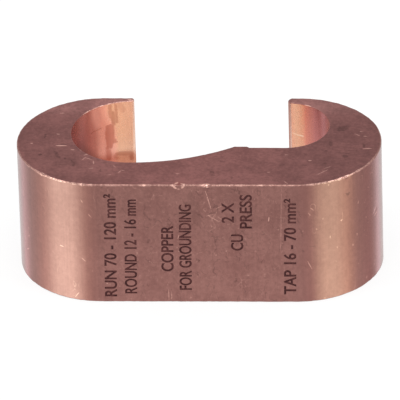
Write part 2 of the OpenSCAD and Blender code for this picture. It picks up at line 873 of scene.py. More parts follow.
    def mesh(self) -> bpy.types.Mesh:
        """Makes the band a closed mesh, its two ends zipped shut.

        Returns:
            The mesh, with gap, rub and lip as attributes.
        """
        strips = self.strips(self.section.stations(self.step))
        points = np.concatenate([np.dstack([s.full("xy"), s.z]) for s in strips], axis=1)
        out = np.concatenate([s.full("out") for s in strips], axis=1)
        n, m = points.shape[:2]
        row, col = np.meshgrid(np.arange(n - 1), np.arange(m), indexing="ij")
        here, beside = row * m + col, row * m + (col + 1) % m
        quads = np.stack([here, beside, beside + m, here + m], axis=2).reshape(-1, 4)
        kind = np.concatenate([np.full(s.z.shape[1], s.kind) for s in strips])
        slots = np.tile(np.where(kind == Surface.SAWN, np.roll(kind, -1), kind), n - 1)
        places = self.roughened(points.reshape(-1, 3), out.reshape(-1, 3)) * MM
        data = meshed("connector_band", places, quads)
        data.polygons.foreach_set("material_index", slots.astype(np.int32))
        for name in ("gap", "rub", "lip"):
            keep(data, name, np.concatenate([s.full(name) for s in strips], axis=1).reshape(-1))
        closed(data)
        data.shade_smooth()
        return data

    def build(self, finishes: dict[Surface, "Finish"]) -> bpy.types.Object:
        """Makes the body, dresses it and sets it in the frame.

        Args:
            finishes: Finish for each kind of surface.

        Returns:
            The body's object.
        """
        piece = placed("copper_body", self.mesh())
        for kind in Surface:
            piece.data.materials.append(finishes[kind].material())
        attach(piece, "root")
        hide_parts(BODY)
        return piece


# Size marks


@dataclass(frozen=True)
class Mark:
    """One printed line that reads upwards from z, x at its letters' middle."""

    text: str
    x: float
    z: float
    length: float


@dataclass
class SizeMarks:
    """Sizes printed on the spine, each line a thin film of ink."""

    face_y: float
    marks: tuple[Mark, ...]
    cap: float = 1.69
    bold: float = 0.016
    smooth: int = 6
    extrude: float = 0.5
    film: float = 0.022
    proud: float = 0.004
    lean: float = 0.016

    def glyphs(self, text: str) -> tuple[Array, list[list[int]]]:
        """Turns a line of text into a flat mesh of some thickness.

        Args:
            text: The line.

        Returns:
            Points in the font's own units and faces.
        """
        curve = bpy.data.curves.new("mark", "FONT")
        curve.body = text
        curve.extrude = self.extrude
        curve.offset = self.bold
        curve.resolution_u = self.smooth
        holder = placed("mark", curve)
        bpy.context.view_layer.update()
        graph = bpy.context.evaluated_depsgraph_get()
        data = bpy.data.meshes.new_from_object(holder.evaluated_get(graph))
        flat = np.zeros(len(data.vertices) * 3)
        data.vertices.foreach_get("co", flat)
        faces = [list(p.vertices) for p in data.polygons]
        bpy.data.objects.remove(holder)
        bpy.data.curves.remove(curve)
        bpy.data.meshes.remove(data)
        return flat.reshape(-1, 3), faces

    def letters(self, mark: Mark) -> tuple[Array, list[list[int]]]:
        """Sets a line on the spine, its x up the face and its y to the left.

        Args:
            mark: The line to print.

        Returns:
            Points in metres and faces.
        """
        flat, faces = self.glyphs(mark.text)
        tall = self.glyphs("H")[0]
        foot, top = tall[:, 1].min(), tall[:, 1].max()
        low, high = flat.min(axis=0), flat.max(axis=0)
        across = (flat[:, 1] - foot) / (top - foot)
        along, depth = ((flat - low) / (high - low))[:, [0, 2]].T
        z = mark.z + mark.length * along
        x = mark.x + self.cap * (0.5 - across) + self.lean * mark.length * (along - 0.5)
        y = self.face_y + self.proud + self.film * (1 - depth)
        return np.column_stack([x, y, z]) * MM, faces

    def build(self, ink: "Finish") -> bpy.types.Object:
        """Prints every line as one piece on the spine.

        Args:
            ink: Finish of the ink.

        Returns:
            The object of all the marks.
        """
        places, faces, count = [], [], 0
        for mark in self.marks:
            new, ring = self.letters(mark)
            places.append(new)
            faces.extend([i + count for i in f] for f in ring)
            count += len(new)
        data = meshed("size_marks", np.concatenate(places), faces)
        closed(data)
        data.materials.append(ink.material())
        piece = placed("size_marks", data)
        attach(piece, "root")
        return piece


# Shading


def srgb(red: int, green: int, blue: int) -> Colour:
    """Turns a colour of a screen, 0 to 255, into the shader's linear one.

    Args:
        red: Red value.
        green: Green value.
        blue: Blue value.

    Returns:
        Linear red, green, blue and an alpha of 1.
    """
    share = np.array([red, green, blue]) / 255
    linear = np.where(share <= 0.04045, share / 12.92, ((share + 0.055) / 1.055) ** 2.4)
    return (*(float(v) for v in linear), 1.0)


class Graph:
    """A node tree built by short calls, most of which add one node."""

    def __init__(self, tree: bpy.types.NodeTree) -> None:
        """Wraps a node tree."""
        self.tree = tree

    @classmethod
    def of(cls, block: bpy.types.Material | bpy.types.World) -> "Graph":
        """Empties the node tree of a material or a world and wraps it.

        Args:
            block: The material or world.

        Returns:
            The graph.
        """
        block.use_nodes = True
        block.node_tree.nodes.clear()
        return cls(block.node_tree)

    def feed(self, node: bpy.types.Node, feeds: Feeds) -> None:
        """Links sockets to a node's inputs, or sets the inputs' own values.

        Args:
            node: The node.
            feeds: A socket or plain value for each input, by name or number.
        """
        for name, value in feeds.items():
            if isinstance(value, Socket):
                self.tree.links.new(value, node.inputs[name])
            else:
                node.inputs[name].default_value = value

    def add(self, kind: str, feeds: Feeds, **settings: object) -> bpy.types.Node:
        """Adds a node, sets it and feeds its inputs.

        Args:
            kind: Blender's name for the kind of node.
            feeds: A socket or plain value for each input.
            settings: Properties of the node.

        Returns:
            The node.
        """
        node = self.tree.nodes.new(kind)
        for name, value in settings.items():
            setattr(node, name, value)
        self.feed(node, feeds)
        return node

    def math(self, op: str, a: Feed, b: Feed = 0.0, clamp: bool = False) -> Socket:
        """Works a sum on two values, held from 0 to 1 by clamp."""
        node = self.add("ShaderNodeMath", {0: a, 1: b}, operation=op, use_clamp=clamp)
        return node.outputs[0]

    def product(self, *values: Feed) -> Socket:
        """Values multiplied together."""
        return reduce(partial(self.math, "MULTIPLY"), values)

    def most(self, *values: Feed) -> Socket:
        """The greatest of some values."""
        return reduce(partial(self.math, "MAXIMUM"), values)

    def vector(self, op: str, a: Feed, b: Feed) -> Socket:
        """Works a sum on two vectors, to a vector or to a number."""
        node = self.add("ShaderNodeVectorMath", {0: a, 1: b}, operation=op)
        return node.outputs["Value" if op in ("DOT_PRODUCT", "LENGTH") else "Vector"]

    def scaled(self, colour: Feed, by: Feed) -> Socket:
        """A colour or vector times a value."""
        node = self.add("ShaderNodeVectorMath", {0: colour, "Scale": by}, operation="SCALE")
        return node.outputs[0]

    def axes(self, at: Feed) -> bpy.types.NodeOutputs:
        """X, Y and Z of a vector."""
        return self.add("ShaderNodeSeparateXYZ", {0: at}).outputs

    def kept(self, name: str, output: str = "Fac") -> Socket:
        """A value or colour that the mesh keeps at its points."""
        return self.add("ShaderNodeAttribute", {}, attribute_name=name).outputs[output]

    def noise(self, at: Feed, scale: Feed, detail: float = 3.0, rough: float = 0.55) -> Socket:
        """A cloud of noise, 0 to 1, with scale cells to a unit of length."""
        feeds = {"Vector": at, "Scale": scale, "Detail": detail, "Roughness": rough}
        return self.add("ShaderNodeTexNoise", feeds).outputs[0]

    def shaken(self, at: Feed, scale: Feed, reach: Feed) -> Socket:
        """Shifts places about, so that what is drawn there turns ragged.

        Args:
            at: The places.
            scale: Cells of the shift to a unit of length.
            reach: Width of the shift.

        Returns:
            The shifted places.
        """
        cloud = self.add("ShaderNodeTexNoise", {"Vector": at, "Scale": scale, "Detail": 2.0})
        off = self.vector("SUBTRACT", cloud.outputs["Color"], (MIDDLE, MIDDLE, MIDDLE))
        return self.vector("ADD", at, self.scaled(off, reach))

    def ramp(
        self, value: Feed, low: Feed, high: Feed, start: float = 0.0, stop: float = 1.0
    ) -> Socket:
        """Maps low to start and high to stop along a smooth step.

        Args:
            value: Value to map.
            low: Value that gives start.
            high: Value that gives stop.
            start: Result at low.
            stop: Result at high.

        Returns:
            The mapped value.
        """
        feeds = {0: value, 1: low, 2: high, 3: start, 4: stop}
        node = self.add("ShaderNodeMapRange", feeds, interpolation_type="SMOOTHSTEP")
        return node.outputs[0]

    def blend(self, share: Feed, a: Feed, b: Feed) -> Socket:
        """Colour a, and colour b by its share."""
        node = self.add("ShaderNodeMix", {0: share, 6: a, 7: b}, data_type="RGBA")
        return node.outputs[2]

    def stops(self, value: Feed, colours: Stops) -> Socket:
        """Runs through colours as a value grows.

        Args:
            value: The value.
            colours: Each colour after the value that gives it, in order.

        Returns:
            The colour.
        """
        last = colours[-1][0]
        node = self.add("ShaderNodeValToRGB", {0: self.math("DIVIDE", value, last)})
        made = node.color_ramp.elements
        for i, (at, colour) in enumerate(colours):
            stop = made[i] if i < 2 else made.new(at / last)
            stop.position = at / last
            stop.color = colour
        return node.outputs[0]

    def relief(self, height: Feed, depth: float) -> Socket:
        """Normal of a surface whose height of 1 stands for a depth in mm."""
        feeds = {"Height": height, "Distance": depth * MM, "Strength": 1.0}
        return self.add("ShaderNodeBump", feeds).outputs[0]


class Effect:
    """A shader node group that is built once and placed where needed."""

    name: str = ""
    feeds: dict[str, float | tuple] = {}
    gives: tuple[str, ...] = ("Mask",)

    def wire(self, g: Graph, source: dict[str, Socket]) -> dict[str, Socket]:
        """Builds the inside of the group.

        Args:
            g: The group's graph.
            source: The group's inputs by name, in the order of its feeds.

        Returns:
            The group's outputs by name.
        """
        raise NotImplementedError

    def tree(self) -> bpy.types.NodeTree:
        """Makes the group, or finds the one that was made before.

        Returns:
            The group.
        """
        made = bpy.data.node_groups.get(self.name)
        if made:
            return made
        made = bpy.data.node_groups.new(self.name, "ShaderNodeTree")
        for name, value in self.feeds.items():
            kind = "NodeSocketVector" if isinstance(value, tuple) else "NodeSocketFloat"
            made.interface.new_socket(name=name, in_out="INPUT", socket_type=kind)
        for name in self.gives:
            made.interface.new_socket(name=name, in_out="OUTPUT", socket_type="NodeSocketFloat")
        start = made.nodes.new("NodeGroupInput")
        stop = made.nodes.new("NodeGroupOutput")
        g = Graph(made)
        g.feed(stop, self.wire(g, {name: start.outputs[name] for name in self.feeds}))
        return made

    def place(self, g: Graph, at: Feed, **feeds: Feed) -> dict[str, Socket]:
        """Places the group in a material.

        Args:
            g: The material's graph.
            at: Places where the group is worked out.
            feeds: Values for the group's other inputs.

        Returns:
            The group's outputs by name.
        """
        node = g.add("ShaderNodeGroup", {}, node_tree=self.tree())
        g.feed(node, {**self.feeds, "Vector": at, **feeds})
        return {name: node.outputs[name] for name in self.gives}

    def mask(self, g: Graph, at: Feed, **feeds: Feed) -> Socket:
        """Places the group, as place does, and gives its mask."""
        return self.place(g, at, **feeds)["Mask"]


class Mottle(Effect):
    """Cloudy tone: a broad noise and a fine one, added in shares."""

    name = "mottle"
    feeds = {"Vector": ORIGIN, "Broad": 0.3, "Fine": 3.0, "Share": 0.4}
    gives = ("Tone", "Grain")
    broad_layers: Point = (4.0, 0.6)
    fine_layers: Point = (3.0, 0.65)

    def wire(self, g: Graph, source: dict[str, Socket]) -> dict[str, Socket]:
        """Adds the two noises by their shares.

        Args:
            g: The group's graph.
            source: The group's inputs by name.

        Returns:
            The tone, and the fine noise in it as the grain.
        """
        at, broad, fine, share = source.values()
        cloud = g.noise(at, broad, *self.broad_layers)
        grain = g.noise(at, fine, *self.fine_layers)
        rest = g.math("SUBTRACT", 1.0, share)
        tone = g.math("ADD", g.product(cloud, rest), g.product(grain, share))
        return {"Tone": tone, "Grain": grain}


class Scratches(Effect):
    """Fine lines: the ridges where a stretched noise crosses its middle."""

    name = "scratches"
    feeds = {"Vector": ORIGIN, "Scale": 1.0, "Width": 0.02, "Sparse": 0.5}
    layers: Point = (1.0, 0.4)
    patch_shift: Place = (7.1, 3.3, 5.7)
    patch_scale: float = 0.8
    patch_fade: float = 0.12

    def wire(self, g: Graph, source: dict[str, Socket]) -> dict[str, Socket]:
        """Draws the ridges and keeps them in patches.

        Args:
            g: The group's graph.
            source: The group's inputs by name.

        Returns:
            The mask of the lines.
        """
        at, scale, width, sparse = source.values()
        off = g.math("ABSOLUTE", g.math("SUBTRACT", g.noise(at, scale, *self.layers), MIDDLE))
        ridge = g.ramp(off, 0.0, width, 1.0, 0.0)
        apart = g.vector("ADD", at, self.patch_shift)
        patch = g.noise(apart, g.product(scale, self.patch_scale))
        kept = g.ramp(patch, sparse, g.math("ADD", sparse, self.patch_fade))
        return {"Mask": g.product(ridge, kept)}


class Nicks(Effect):
    """Scattered marks: some of a cell pattern's cells, shrunk to a spot."""

    name = "nicks"
    feeds = {"Vector": ORIGIN, "Scale": 1.0, "Size": 0.2, "Share": 0.2}
    shake_scale: float = 2.5
    shake_cells: float = 0.5
    core: float = 0.5

    def wire(self, g: Graph, source: dict[str, Socket]) -> dict[str, Socket]:
        """Picks some of the cells and draws a ragged spot in each.

        Args:
            g: The group's graph.
            source: The group's inputs by name.

        Returns:
            The mask of the spots.
        """
        at, scale, size, share = source.values()
        reach = g.math("DIVIDE", self.shake_cells, scale)
        ragged = g.shaken(at, g.product(scale, self.shake_scale), reach)
        cell = g.add("ShaderNodeTexVoronoi", {"Vector": ragged, "Scale": scale}).outputs
        spot = g.ramp(cell["Distance"], g.product(size, self.core), size, 1.0, 0.0)
        pick = g.add("ShaderNodeSeparateColor", {0: cell["Color"]}).outputs[0]
        return {"Mask": g.product(spot, g.math("LESS_THAN", pick, share))}


class EdgeWearAndHighlight(Effect):
    """Rubbed edge with a painted highlight: nearness to a sawn edge, broken up by noise."""

    name = "edge wear"
    feeds = {"Vector": ORIGIN, "Gap": 0.0, "Rub": 0.0, "Reach": 0.15}
    chips: Place = (1.1, 3.0, 0.65)
    chip_fade: Fade = (0.3, 0.7, 0.3, 1.7)
    dots: Place = (3.6, 2.0, 0.6)
    dot_fade: Fade = (0.38, 0.64, 0.3, 1.5)
    least_reach: float = 0.01

    def wire(self, g: Graph, source: dict[str, Socket]) -> dict[str, Socket]:
        """Fades the edge out and breaks it up.

        Args:
            g: The group's graph.
            source: The group's inputs by name.

        Returns:
            The mask of the bare edge and its painted highlight.
        """
        at, gap, rub, reach = source.values()
        chip = g.ramp(g.noise(at, *self.chips), *self.chip_fade)
        dots = g.ramp(g.noise(at, *self.dots), *self.dot_fade)
        end = g.math("MAXIMUM", g.product(reach, chip), self.least_reach)
        near = g.ramp(gap, 0.0, end, 1.0, 0.0)
        return {"Mask": g.math("MULTIPLY", g.product(rub, dots), near, clamp=True)}


class StrokeMask(Effect):
    """One mark: nearness to the line from Start to Stop, thin at its ends."""

    name = "stroke"
    feeds = {"Vector": ORIGIN, "Start": ORIGIN, "Stop": ORIGIN, "Width": 0.1, "Taper": 0.5}
    core: float = 0.35

    def wire(self, g: Graph, source: dict[str, Socket]) -> dict[str, Socket]:
        """Compares |p - a - t (b - a)| with the width at t.

        Args:
            g: The group's graph.
            source: The group's inputs by name.

        Returns:
            The mask of the mark.
        """
        at, start, stop, width, taper = source.values()
        off, way = g.vector("SUBTRACT", at, start), g.vector("SUBTRACT", stop, start)
        square = g.vector("DOT_PRODUCT", way, way)
        t = g.math("DIVIDE", g.vector("DOT_PRODUCT", off, way), square, clamp=True)
        far = g.vector("LENGTH", g.vector("SUBTRACT", off, g.scaled(way, t)), ORIGIN)
        middle = g.math("SUBTRACT", g.product(t, 2.0), 1.0)
        left = g.math("SUBTRACT", 1.0, g.product(middle, middle, taper))
        wide = g.product(width, left)
        return {"Mask": g.ramp(far, g.product(wide, self.core), wide, 1.0, 0.0)}


MOTTLE, SCRATCHES, NICKS = Mottle(), Scratches(), Nicks()
EDGE_WEAR_AND_HIGHLIGHT, STROKE_MASK = EdgeWearAndHighlight(), StrokeMask()


@dataclass(frozen=True)
class Stroke:
    """One mark on a face, from start to stop, of half a width and a share."""

    start: Point
    stop: Point
    width: float
    share: float


class Finish:
    """A surface: what its material is called and what its shader is fed."""

    name: str = ""

    def wire(self, g: Graph, at: Socket) -> Feeds:
        """Wires all of the material but its Principled shader.

        Args:
            g: The material's graph.
            at: Object coordinates, in millimetres.

        Returns:
            What each input of the shader is fed.
        """
        raise NotImplementedError

    def material(self) -> bpy.types.Material:
        """Makes the material.

        Returns:
            The material.
        """
        made = bpy.data.materials.new(self.name)
        g = Graph.of(made)
        at = g.scaled(g.add("ShaderNodeTexCoord", {}).outputs["Object"], 1 / MM)
        surface = g.add("ShaderNodeBsdfPrincipled", self.wire(g, at))
        g.add("ShaderNodeOutputMaterial", {0: surface.outputs[0]})
        return made


@dataclass(frozen=True)
class Copper(Finish):
    """Solid copper: mottled, scratched, smudged and bare along its edges, where a highlight is
    painted too.

    lines are the fine lines that the making leaves. A shake is the scale
    and the width of the shift that makes a mark ragged.
    """

    section: Section
    scratches: tuple[Stroke, ...]
    smudges: tuple[Stroke, ...]
    face: Face = Face.SPINE
    dark: Colour = srgb(135, 93, 87)
    light: Colour = srgb(149, 105, 98)
    # bare also paints the glint and the burr's highlight among the top face's marks
    bare: Colour = srgb(222, 172, 158)
    # edge paints the bare edges and the highlight painted on them
    edge: Colour = srgb(237, 188, 174)
    stain: Place = (0.48, 0.48, 0.48)
    broad: float = 0.25
    fine: float = 1.6
    fine_share: float = 0.45
    tone_fade: Point = (0.36, 0.64)
    grain_fade: Fade = (0.3, 0.7, 0.98, 1.02)
    lines_stretch: Place = (1.0, 1.0, 0.03)
    lines_noise: Place = (3.0, 3.0, 0.55)
    lines_fade: Fade = (0.3, 0.7, 0.965, 1.035)
    flecks_shift: Place = (31.0, 17.0, 5.0)
    scratch_shake: Point = (5.0, 0.14)
    smudge_shake: Point = (1.5, 0.8)
    taper: float = 0.5
    reach: float = 0.13
    rough: float = 0.27
    rough_fade: Fade = (0.35, 0.65, 0.02, -0.02)
    smudge_rough: float = 0.1
    coat: float = 0.0
    coat_rough: float = 0.25
    depth: float = 0.0015

    def tint(self, g: Graph, at: Socket, tone: Socket) -> Socket:
        """Colour of the clean surface at some places, by its cloudy tone."""
        return g.blend(g.ramp(tone, *self.tone_fade), self.dark, self.light)

    def flecks(self, g: Graph, at: Socket) -> tuple[Feed, Feed]:
        """Masks of the scattered marks at some places, light and dark."""
        return 0.0, 0.0

    def drawn(self, g: Graph, at: Socket, strokes: tuple[Stroke, ...], mask: Feed) -> Feed:
        """Adds marks to a mask, by the greater of the two.

        Args:
            g: The material's graph.
            at: Places, shaken so that the marks are ragged.
            strokes: The marks.
            mask: The mask so far.

        Returns:
            The mask with the marks.
        """
        for stroke in strokes:
            start, stop = (self.section.spot(self.face, p) for p in (stroke.start, stroke.stop))
            shape = {"Start": start, "Stop": stop, "Width": stroke.width, "Taper": self.taper}
            mask = g.most(g.product(STROKE_MASK.mask(g, at, **shape), stroke.share), mask)
        return mask

    def wire(self, g: Graph, at: Socket) -> Feeds:
        """Lays lines, grain, marks and bare edges with a painted highlight over the tint.

        Args:
            g: The material's graph.
            at: Object coordinates, in millimetres.

        Returns:
            What each input of the shader is fed.
        """
        shares = {"Broad": self.broad, "Fine": self.fine, "Share": self.fine_share}
        tone, grain = MOTTLE.place(g, at, **shares).values()
        lines = g.noise(g.vector("MULTIPLY", at, self.lines_stretch), *self.lines_noise)
        pale, dull = self.flecks(g, at)
        light = self.drawn(g, g.shaken(at, *self.scratch_shake), self.scratches, pale)
        dark = self.drawn(g, g.shaken(at, *self.smudge_shake), self.smudges, dull)
        worn_and_highlit = EDGE_WEAR_AND_HIGHLIGHT.mask(g, at, Gap=g.kept("gap"), Rub=g.kept("rub"), Reach=self.reach)
        colour = self.tint(g, at, tone)
        colour = g.scaled(colour, g.ramp(lines, *self.lines_fade))
        colour = g.scaled(colour, g.ramp(grain, *self.grain_fade))
        colour = g.blend(dark, colour, g.vector("MULTIPLY", colour, self.stain))
        # Light marks, among them a painted glint and highlight on the top face
        colour = g.blend(light, colour, self.bare)
        # Bare edges, with a painted highlight on them
        colour = g.blend(worn_and_highlit, colour, self.edge)
        low, high, start, stop = self.rough_fade
        rough = g.ramp(tone, low, high, self.rough + start, self.rough + stop)
        height = g.math("SUBTRACT", g.math("ADD", grain, lines), pale)
        return {
            "Base Color": colour,
            "Roughness": g.math("ADD", rough, g.product(dark, self.smudge_rough)),
            "Metallic": 1.0,
            "Coat Weight": self.coat,
            "Coat Roughness": self.coat_rough,
            "Normal": g.relief(height, self.depth),
        }


@dataclass(frozen=True)
class DrawnCopper(Copper):
    """Outside of the bar: tarnished satin copper with drawing lines."""

    name: str = "drawn copper"
    rough: float = 0.22
    coat: float = 0.12
    calm_ends: Fade = (12.0, 15.0, 1.0, 0.35)
    # Painted reflection of the floor, paler towards the foot
    floor_reflection_fade: Fade = (0.0, 17.0, 1.1, 0.93)
    front_fade: Fade = (12.0, 15.0, 0.4, 0.05)
    slant: Place = (0.8, 0.8, 0.5)
    speck_share: float = 0.5
    hair_share: float = 0.3
    peel_share: Fade = (11.0, 16.0, 0.0, 0.3)
    scuff_share: float = 1.3

    def tint(self, g: Graph, at: Socket, tone: Socket) -> Socket:
        """Colour that is calmer at the ends, and paler at the foot from a painted reflection of the
        floor.

        Args:
            g: The material's graph.
            at: Object coordinates, in millimetres.
            tone: Cloudy tone there.

        Returns:
            The colour.
        """
        axes = g.axes(at)
        calm = g.ramp(g.math("ABSOLUTE", axes["X"]), *self.calm_ends)
        tone = g.math("ADD", g.product(g.math("SUBTRACT", tone, MIDDLE), calm), MIDDLE)
        colour = super().tint(g, at, tone)
        return g.scaled(colour, g.ramp(axes["Z"], *self.floor_reflection_fade))

    def flecks(self, g: Graph, at: Socket) -> tuple[Feed, Feed]:
        """Specks, long and short hairs, peeled spots and dark scuffs.

        Args:
            g: The material's graph.
            at: Object coordinates, in millimetres.

        Returns:
            Masks of the light marks and of the dark ones.
        """
        x = g.axes(at)["X"]
        front = g.ramp(g.math("ABSOLUTE", x), *self.front_fade)
        slant = g.vector("MULTIPLY", at, self.slant)
        moved = g.vector("ADD", slant, self.flecks_shift)
        specks = NICKS.mask(g, at, Scale=0.55, Size=0.09, Share=0.12)
        peeled = NICKS.mask(g, slant, Scale=1.3, Size=0.16, Share=0.3)
        hairs = SCRATCHES.mask(g, slant, Scale=0.7, Width=0.008, Sparse=0.56)
        short = SCRATCHES.mask(g, at, Scale=1.5, Width=0.014, Sparse=0.5)
        scuffs = SCRATCHES.mask(g, moved, Scale=1.3, Width=0.04, Sparse=0.5)
        pale = g.most(
            g.product(specks, self.speck_share),
            g.product(hairs, self.hair_share),
            g.product(short, front),
            g.product(peeled, g.ramp(x, *self.peel_share)),
        )
        return pale, g.product(scuffs, front, self.scuff_share)


@dataclass(frozen=True)
class SawnCopper(Copper):
    """Sawn ends: duller copper with the saw's dashes and smudges."""

    name: str = "sawn copper"
    face: Face = Face.TOP
    dark: Colour = srgb(118, 73, 70)
    light: Colour = srgb(142, 91, 87)
    stain: Place = (0.52, 0.52, 0.52)
    broad: float = 0.22
    fine: float = 2.4
    lines_stretch: Place = (0.12, 1.0, 1.0)
    lines_noise: Place = (3.2, 3.0, 0.6)
    smudge_shake: Point = (2.2, 0.6)
    reach: float = 0.06
    rough: float = 0.42
    depth: float = 0.004
    dull_left: Fade = (-22.0, -6.0, 0.9, 1.04)
    dull_right: Fade = (-2.0, 22.0, 1.0, 0.8)
    # Painted highlight, paler and greyer towards the back of the sawn faces
    back: Place = (1.42, 1.6, 1.6)
    back_highlight_fade: Point = (6.5, 9.5)
    dash: Place = (0.45, 1.0, 1.0)
    busy_ends: Fade = (4.0, 13.0, 0.35, 1.0)
    pale_share: float = 0.4
    dull_share: float = 0.5

    def tint(self, g: Graph, at: Socket, tone: Socket) -> Socket:
        """Colour that is duller at both ends, and paler at the back from a painted highlight.

        Args:
            g: The material's graph.
            at: Object coordinates, in millimetres.
            tone: Cloudy tone there.

        Returns:
            The colour.
        """
        colour = super().tint(g, at, tone)
        axes = g.axes(at)
        left, right = (g.ramp(axes["X"], *fade) for fade in (self.dull_left, self.dull_right))
        colour = g.scaled(colour, g.product(left, right))
        # Painted highlight towards the back
        pale = g.vector("MULTIPLY", colour, self.back)
        return g.blend(g.ramp(axes["Y"], *self.back_highlight_fade), colour, pale)

    def flecks(self, g: Graph, at: Socket) -> tuple[Feed, Feed]:
        """Short dashes along X, most of them at the ends.

        Args:
            g: The material's graph.
            at: Object coordinates, in millimetres.

        Returns:
            Masks of the light marks and of the dark ones.
        """
        busy = g.ramp(g.math("ABSOLUTE", g.axes(at)["X"]), *self.busy_ends)
        long = g.vector("MULTIPLY", at, self.dash)
        moved = g.vector("ADD", long, self.flecks_shift)
        pale = NICKS.mask(g, long, Scale=0.9, Size=0.14, Share=0.16)
        dull = NICKS.mask(g, moved, Scale=0.8, Size=0.26, Share=0.22)
        return g.product(pale, busy, self.pale_share), g.product(dull, busy, self.dull_share)


@dataclass(frozen=True)
class GrooveCopper(Copper):
    """Groove walls, with painted light and shade: bright at the jaws' tips and
    darker red deep inside.

    The stops give this painted light and shade by the way in from a jaw's
    apex. Lengths x and z are on the body, and lip is that way in.
    """

    name: str = "groove copper"
    face: Face = Face.JAW
    bare: Colour = (1.0, 0.88, 0.76, 1.0)
    # edge paints the bare edges and the highlight painted on them
    edge: Colour = srgb(236, 186, 168)
    stain: Place = (0.72, 0.56, 0.52)
    broad: float = 0.3
    fine: float = 1.4
    smudge_shake: Point = (2.2, 0.45)
    taper: float = 0.05
    reach: float = 0.05
    depth: float = 0.0003
    stray: float = 0.8
    rim_way: Fade = (14.0, 19.0, 0.0, 1.3)
    tap_x: Point = (0.0, 4.0)
    # Painted shade at the groove's foot, kept off above unshaded_z and from unshaded_lip on
    foot: Place = (0.68, 0.44, 0.38)
    unshaded_z: Point = (9.8, 11.6)
    unshaded_lip: Point = (8.0, 11.0)
    shade_line: Point = (16.0, 1.55)
    shade: Fade = (12.0, 14.0, 0.68, 1.0)
    nose_shade: Fade = (0.4, 1.05, 0.6, 1.0)
    run_x: Point = (0.0, -4.0)
    sheen: Colour = (0.5, 0.3, 0.25, 1.0)
    sheen_lip: Point = (0.9, 1.6)
    # Painted light and shade by the way in, here and in the tap's stops: bright at the jaws' tips,
    # dark red deeper in
    run_painted_light_stops: Stops = (
        (0.0, (0.96, 0.67, 0.53, 1.0)),
        (2.6, (0.93, 0.63, 0.47, 1.0)),
        (3.4, (0.95, 0.53, 0.44, 1.0)),
        (4.4, (0.77, 0.36, 0.29, 1.0)),
        (5.3, (0.71, 0.30, 0.23, 1.0)),
        (6.2, (0.48, 0.16, 0.12, 1.0)),
        (7.2, (0.38, 0.11, 0.085, 1.0)),
        (8.5, (0.29, 0.08, 0.065, 1.0)),
        (9.9, (0.29, 0.075, 0.07, 1.0)),
        (13.0, (0.47, 0.13, 0.14, 1.0)),
        (17.0, (0.96, 0.70, 0.56, 1.0)),
    )
    tap_painted_light_stops: Stops = (
        (0.0, (0.95, 0.57, 0.51, 1.0)),
        (1.6, (0.90, 0.65, 0.52, 1.0)),
        (2.1, (0.90, 0.59, 0.46, 1.0)),
        (2.5, (0.88, 0.51, 0.38, 1.0)),
        (3.0, (0.78, 0.33, 0.26, 1.0)),
        (3.5, (0.67, 0.26, 0.21, 1.0)),
        (4.5, (0.54, 0.20, 0.185, 1.0)),
        (5.7, (0.42, 0.14, 0.13, 1.0)),
        (7.2, (0.42, 0.16, 0.17, 1.0)),
        (12.0, (0.96, 0.70, 0.56, 1.0)),
    )

    def tint(self, g: Graph, at: Socket, tone: Socket) -> Socket:
        """Paints redder shade by the way in, and shade at the foot and tap jaw's nose.

        The run groove's lower inner corner gets painted shade too, under a line
        that slopes down along x.

        Args:
            g: The material's graph.
            at: Object coordinates, in millimetres.
            tone: Cloudy tone there.

        Returns:
            The colour.
        """
        axes, lip = g.axes(at), g.kept("lip")
        x, z = axes["X"], axes["Z"]
        way = g.math("ADD", lip, g.product(g.math("SUBTRACT", tone, MIDDLE), self.stray))
        run = g.stops(g.math("SUBTRACT", way, g.ramp(z, *self.rim_way)), self.run_painted_light_stops)
        colour = g.blend(g.ramp(x, *self.tap_x), run, g.stops(way, self.tap_painted_light_stops))
        # Painted shade at the foot of the groove
        clear = g.most(g.ramp(z, *self.unshaded_z), g.ramp(lip, *self.unshaded_lip))
        colour = g.blend(clear, g.vector("MULTIPLY", colour, self.foot), colour)
        start, slope = self.shade_line
        level = g.math("ADD", z, g.product(g.math("ADD", x, start), slope))
        nose = g.most(g.ramp(lip, *self.nose_shade), g.ramp(x, *self.run_x))
        return g.scaled(colour, g.product(g.ramp(level, *self.shade), nose))

    def wire(self, g: Graph, at: Socket) -> Feeds:
        """Wires the material so that the jaws' noses don't whiten at a slant."""
        past = g.ramp(g.kept("lip"), *self.sheen_lip)
        return {**super().wire(g, at), "Specular Tint": g.blend(past, self.sheen, WHITE)}


@dataclass(frozen=True)
class MarkingInk(Finish):
    """Dark printing ink, thin enough to look patchy."""

    name: str = "marking ink"
    thin: Colour = srgb(82, 46, 44)
    thick: Colour = srgb(54, 26, 27)
    tone_fade: Point = (0.38, 0.6)
    rough_fade: Fade = (0.3, 0.7, 0.5, 0.7)
    gloss: float = 0.1
    depth: float = 0.003

    def wire(self, g: Graph, at: Socket) -> Feeds:
        """Thins the ink in patches.

        Args:
            g: The material's graph.
            at: Object coordinates, in millimetres.

        Returns:
            What each input of the shader is fed.
        """
        tone, grain = MOTTLE.place(g, at, Broad=0.9, Fine=4.5, Share=0.5).values()
        return {
            "Base Color": g.blend(g.ramp(tone, *self.tone_fade), self.thin, self.thick),
            "Roughness": g.ramp(grain, *self.rough_fade),
            "Specular IOR Level": self.gloss,
            "Normal": g.relief(grain, self.depth),
        }


# Studio


